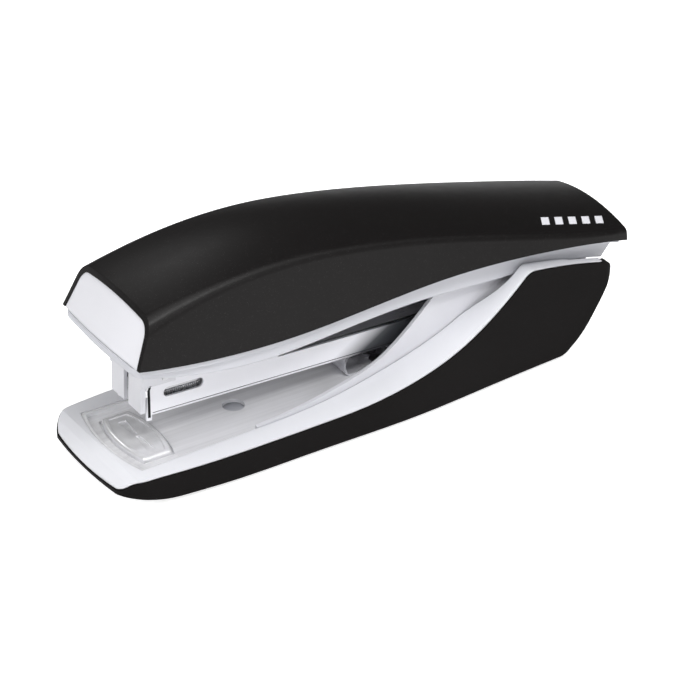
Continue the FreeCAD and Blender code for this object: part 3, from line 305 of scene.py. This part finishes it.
# Each finish's name, the function that makes it, and its values.
RECIPES = [
    ("cover_black", black_plastic, {"fleck": (0.10, 0.095, 0.095), "roughness": 0.37, "gloss": 0.16}),
    ("skin_black", black_plastic, {"fleck": (0.035, 0.034, 0.034), "roughness": 0.42, "gloss": 0.04}),
    ("inner_black", rubber, {"tone": (0.02, 0.02, 0.021)}),
    ("cap_white", white_plastic, {"tone": (0.78, 0.78, 0.82)}),
    ("frame_white", white_plastic, {"tone": (0.765, 0.77, 0.805)}),
    # A darker copy of the frame's white: painted shade for the head's down-turned lip.
    ("lip_white", white_plastic, {"tone": (0.575, 0.58, 0.62)}),
    ("print_white", white_plastic, {"tone": (0.80, 0.80, 0.845)}),
    # Darker than the channel's white: painted shade for the bracket's ears, which the front plate shares.
    ("white_paint", white_paint, {"tone": (0.70, 0.70, 0.74)}),
    # The channel's white, with painted shade darkening its rear half.
    ("channel_paint", channel_paint, {"tone": (0.84, 0.84, 0.885), "shade": (0.035, 0.037, 0.042)}),
    ("tray_steel", metal, {"tone": (0.92, 0.92, 0.94), "roughness": 0.20, "grain": (12.0, 700.0, 700.0),
                           "spread": 0.03, "depth": 0.0000002, "metallic": 0.28}),
    ("anvil_chrome", metal, {"tone": (0.98, 0.98, 1.0), "roughness": 0.13, "grain": (300.0, 300.0, 300.0),
                             "spread": 0.02, "depth": 0.0000004, "metallic": 0.38}),
    ("leaf_steel", metal, {"tone": (0.80, 0.80, 0.84), "roughness": 0.30, "grain": (500.0, 60.0, 500.0),
                           "spread": 0.05, "depth": 0.000001, "metallic": 0.5}),
    ("base_grey", white_plastic, {"tone": (0.42, 0.43, 0.46), "roughness": 0.45}),
    # A near-black sheet, painted shade for the magazine's seam and the corner gaps.
    ("groove", rubber, {"tone": (0.012, 0.012, 0.013)}),
    ("zinc", metal, {"tone": (0.62, 0.62, 0.64), "roughness": 0.34}),
    ("arm_steel", metal, {"tone": (0.55, 0.56, 0.60), "roughness": 0.30}),
    ("blade_steel", metal, {"tone": (0.50, 0.50, 0.53), "roughness": 0.26, "grain": (2600.0, 2600.0, 60.0)}),
    ("spring_steel", metal, {"tone": (0.80, 0.80, 0.84), "roughness": 0.28, "grain": (900.0, 900.0, 900.0),
                             "metallic": 0.55}),
    ("rubber", rubber, {"tone": (0.045, 0.045, 0.047)}),
]
FINISH = {name: make(name, **values) for name, make, values in RECIPES}

NODE_FINISH = {
    "cover_black": ["top_cover"],
    "skin_black": ["base_skin"],
    "inner_black": ["bottom_plate", "rear_stop"],
    "cap_white": ["nose_cap"],
    "frame_white": ["base_frame"],
    "lip_white": ["head_frame"],
    "white_paint": ["pivot_bracket", "front_plate"],
    "channel_paint": ["magazine_channel"],
    "tray_steel": ["base_plate"],
    "anvil_chrome": ["anvil_plate"],
    "zinc": ["bracket_rivets", "hinge_pin", "pin_clip", "base_screws", "lift_rivets", "staple_rail",
             "plate_rivets", "spring_anchor", "driver_rivets", "arm_screws", "pusher"],
    "arm_steel": ["driver_arm"],
    "blade_steel": ["driver_blade"],
    "leaf_steel": ["lift_spring"],
    "spring_steel": ["pusher_springs", "head_spring"],
    "rubber": ["rubber_feet"],
}
for finish, names in NODE_FINISH.items():
    for name in names:
        for slot in nodes[name].material_slots:
            slot.material = FINISH[finish]

# ------------------------------------------------------------------ floor


def floor():
    half = 3.0
    glow_on_object, glow_in_view = 0.22, 0.75    # the paper's own light, as the object and the camera meet it
    corners = [(-half, -half, 0), (half, -half, 0), (half, half, 0), (-half, half, 0)]
    mesh = bpy.data.meshes.new("floor")
    mesh.from_pydata(corners, [], [(0, 1, 2, 3)])
    thing = bpy.data.objects.new("floor", mesh)
    scene.collection.objects.link(thing)
    s = Shader("floor_paper", Emission_Color=(1.0, 1.0, 1.0, 1.0))
    seen = s.node("ShaderNodeLightPath").outputs["Is Camera Ray"]
    s.link(s.between(seen, glow_on_object, glow_in_view), s.surface.inputs["Emission Strength"])
    s.colour(s.mix(s.noise(3.0), (0.86, 0.86, 0.86), (0.9, 0.9, 0.9)))
    s.rough(s.between(s.noise(80.0), 0.8, 0.95))
    mesh.materials.append(s.material)


floor()

# ------------------------------------------------------------------ mesh helpers


def new_piece(name, mesh, finish, body=None):
    """An object made of a mesh, painted, on its body and with its slot."""
    thing = bpy.data.objects.new(name, mesh)
    scene.collection.objects.link(thing)
    mesh.materials.append(FINISH[finish])
    if body:
        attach(thing, body)
    return thing


def bridge(bm, rings):
    """Faces from each ring of vertices to the next, and a cap at both ends."""
    count = len(rings[0])
    for first, second in zip(rings, rings[1:]):
        for j in range(count):
            bm.faces.new((first[j], first[(j + 1) % count], second[(j + 1) % count], second[j]))
    bm.faces.new(list(reversed(rings[0])))
    bm.faces.new(rings[-1])


def as_mesh(name, bm):
    mesh = bpy.data.meshes.new(name)
    bm.to_mesh(mesh)
    bm.free()
    return mesh


def outward_mesh(name, bm):
    """The mesh of a closed form, with its faces turned outwards."""
    bmesh.ops.recalc_face_normals(bm, faces=bm.faces)
    return as_mesh(name, bm)


def swept_tube(name, path, radius, sides):
    """A round wire along a path of points, as a mesh with smooth faces."""
    bm = bmesh.new()
    rings = []
    side = None
    for k, point in enumerate(path):
        ahead = path[min(k + 1, len(path) - 1)]
        behind = path[max(k - 1, 0)]
        along = (ahead - behind).normalized()
        if side is None:
            side = along.orthogonal().normalized()
        side = (side - along * side.dot(along)).normalized()
        other = along.cross(side)
        ring = []
        for j in range(sides):
            angle = math.tau * j / sides
            ring.append(bm.verts.new(point + (side * math.cos(angle) + other * math.sin(angle)) * radius))
        rings.append(ring)
    bridge(bm, rings)
    for face in bm.faces:
        face.smooth = len(face.verts) == 4
    bm.normal_update()
    return as_mesh(name, bm)


def joined(name, meshes):
    """One mesh out of several."""
    bm = bmesh.new()
    for mesh in meshes:
        bm.from_mesh(mesh)
        bpy.data.meshes.remove(mesh)
    return as_mesh(name, bm)


# ------------------------------------------------------------------ springs

# The two extension springs in the rail: level x of their ends, and their middle line.
SPRING_FRONT, SPRING_REAR = -0.0568, -0.0224
SPRING_Y, SPRING_Z = 0.0034, 0.0156
SPRING_RADIUS, SPRING_WIRE = 0.00118, 0.00022
SPRING_PITCH = 0.00056


def coil_path(start, end, radius, turns, steps=14):
    """A helix about the line from start to end."""
    along = (end - start).normalized()
    side = along.orthogonal().normalized()
    other = along.cross(side)
    path = []
    for k in range(int(turns * steps) + 1):
        share = k / (turns * steps)
        angle = math.tau * k / steps
        path.append(start.lerp(end, share) + (side * math.cos(angle) + other * math.sin(angle)) * radius)
    return path


def pusher_springs():
    coils = []
    for y in (-SPRING_Y, SPRING_Y):
        start = from_level((SPRING_FRONT, y, SPRING_Z))
        end = from_level((SPRING_REAR, y, SPRING_Z))
        turns = round((end - start).length / SPRING_PITCH)
        coils.append(swept_tube("coil", coil_path(start, end, SPRING_RADIUS, turns), SPRING_WIRE, sides=6))
    springs = new_piece("pusher_spring_coils", joined("pusher_spring_coils", coils), "spring_steel")
    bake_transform(springs)
    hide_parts("pusher_springs")


def head_spring():
    """A torsion spring round the pin, with one leg on the magazine and one under the head's arm."""
    radius, wire, half = 0.0037, 0.0004, 0.0040
    turns, steps = 8.5, 20
    near_leg, whole_leg = Vector((-0.005, 0.0, 0.0)), Vector((-0.014, 0.0, 0.0))
    start = PIVOT + Vector((0.0, -half, -radius))
    end = PIVOT + Vector((0.0, half, radius))
    path = [start + whole_leg, start + near_leg]
    for k in range(int(turns * steps) + 1):
        angle = math.tau * k / steps - math.pi / 2
        y = -half + 2 * half * k / (turns * steps)
        path.append(PIVOT + Vector((math.cos(angle) * radius, y, math.sin(angle) * radius)))
    path += [end + near_leg, end + whole_leg]
    coil = swept_tube("head_spring_coil", path, wire, sides=8)
    spring = new_piece("head_spring_coil", coil, "spring_steel")
    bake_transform(spring)
    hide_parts("head_spring")


def lift_leaf():
    """The bent leaf that holds the magazine up: its foot on the tray, its free leg under the channel."""
    thick, half = 0.0005, 0.004
    foot_z = 0.00745
    bend_x, bend_z = -0.00095, 0.0102
    bend_long, bend_tall = 0.0016, 0.00275
    middle = [(0.0130, foot_z), (0.0060, foot_z), (0.0012, foot_z)]
    for degrees in range(262, 97, -15):
        angle = math.radians(degrees)
        middle.append((bend_x + bend_long * math.cos(angle), bend_z + bend_tall * math.sin(angle)))
    middle += [(0.0020, 0.01325), (0.0056, 0.01381), (0.00915, 0.01435)]
    bm = bmesh.new()
    rings = []
    for k, (x, z) in enumerate(middle):
        ahead = middle[min(k + 1, len(middle) - 1)]
        behind = middle[max(k - 1, 0)]
        along = Vector((ahead[0] - behind[0], 0.0, ahead[1] - behind[1])).normalized()
        off = Vector((-along.z, 0.0, along.x)) * thick / 2
        rings.append([bm.verts.new(Vector((x, y, z)) + off * face)
                      for face, y in ((-1, -half), (1, -half), (1, half), (-1, half))])
    bridge(bm, rings)
    leaf = new_piece("lift_leaf", outward_mesh("lift_leaf", bm), "leaf_steel")
    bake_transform(leaf)
    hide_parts("lift_spring")


pusher_springs()
head_spring()
lift_leaf()

# ------------------------------------------------------------------ trim

CHANNEL_SIDE = 0.0071                   # half width of the magazine channel


def channel_edge(name, low, tall, out, finish):
    """A strip along each lower edge of the magazine, standing out from its side."""
    inner, outer = CHANNEL_SIDE - 0.0003, CHANNEL_SIDE + out
    section = [(inner, low), (outer, low), (outer, low + tall), (inner, low + tall)]
    bm = bmesh.new()
    for side in (-1, 1):
        rings = []
        for x in (-0.0586, -0.03, 0.0, 0.03, 0.0500):
            rings.append([bm.verts.new(from_level((x, side * y, z))) for y, z in section])
        bridge(bm, rings)
    new_piece(name, outward_mesh(name, bm), finish, "magazine")


# The folded hem along the magazine's lower edge, with a dark strip above it as painted shade in the seam.
channel_edge("channel_seam_shade", 0.01292, 0.00016, 0.00003, "groove")
channel_edge("channel_hem", 0.01246, 0.00034, 0.00008, "channel_paint")


def printed_bars():
    """A plain print on the cover's near shoulder: five slanted bars."""
    thick = 0.00004
    front, pitch, width, slant = 0.0500, 0.0042, 0.0024, 0.0016
    low, high = -0.0128, -0.0098
    steps = 4
    above = 0.2                         # a height over everything
    bm = bmesh.new()
    for bar in range(5):
        rows = []
        for j in range(steps + 1):
            y = low + (high - low) * j / steps
            row = []
            for i in range(3):
                x = front + bar * pitch + width * i / 2 + slant * j / steps
                _, place, normal, _ = nodes["top_cover"].ray_cast(Vector((x, y, above)), DOWN)
                under = bm.verts.new((x, y, place.z - thick))
                row.append((under, bm.verts.new(Vector((x, y, place.z)) + normal * thick)))
            rows.append(row)
        for j in range(steps):
            for i in range(2):
                for k in (0, 1):
                    bm.faces.new((rows[j][i][k], rows[j][i + 1][k], rows[j + 1][i + 1][k], rows[j + 1][i][k]))
        rim = [rows[0][i] for i in range(3)] + [rows[j][2] for j in range(1, steps + 1)]
        rim += [rows[steps][i] for i in (1, 0)] + [rows[j][0] for j in range(steps - 1, 0, -1)]
        for first, second in zip(rim, rim[1:] + rim[:1]):
            bm.faces.new((first[0], second[0], second[1], first[1]))
    new_piece("printed_bars", outward_mesh("printed_bars", bm), "print_white", "head")


printed_bars()


def hole_floor():
    """A raised boss of the base that shows through the round hole in the tray."""
    radius, tall = 0.0034, 0.0016
    place = Matrix.Translation((-0.0325, 0.0, 0.0052))
    bm = bmesh.new()
    bmesh.ops.create_cone(bm, cap_ends=True, segments=32, radius1=radius, radius2=radius, depth=tall,
                          matrix=place)
    new_piece("hole_floor", as_mesh("hole_floor", bm), "base_grey", "base")


hole_floor()


def wall_face(x, z, side):
    """The half width at which a ray from one side first meets the magazine's front, or None."""
    start = Vector((x, side * 0.05, z))
    met = []
    for name in ("magazine_channel", "front_plate"):
        hit, place, _, _ = nodes[name].ray_cast(start, Vector((0, -side, 0)))
        if hit:
            met.append(abs(place.y))
    return max(met, default=None)


def corner_strip(name, front, rear, finish):
    """A thin upright strip down each front corner of the magazine, from x front to x rear."""
    low, tall, steps = 0.0168, 0.0092, 11
    sunk, proud = -0.0002, 0.00006
    bm = bmesh.new()
    for side in (-1, 1):
        rings = []
        for k in range(steps + 1):
            z = low + tall * k / steps
            faces = [wall_face(x, z, side) for x in (front, rear)]
            if None in faces:
                continue
            y = max(faces)
            rings.append([bm.verts.new((x, side * (y + lift), z))
                          for x, lift in ((front, sunk), (front, proud), (rear, proud), (rear, sunk))])
        bridge(bm, rings)
    new_piece(name, outward_mesh(name, bm), finish, "magazine")


# A polished strip, with a dark sheet behind it as painted shade in the gap.
corner_strip("corner_gap_shade", -0.0603, -0.0596, "groove")
corner_strip("corner_strips", -0.0608, -0.0603, "anvil_chrome")
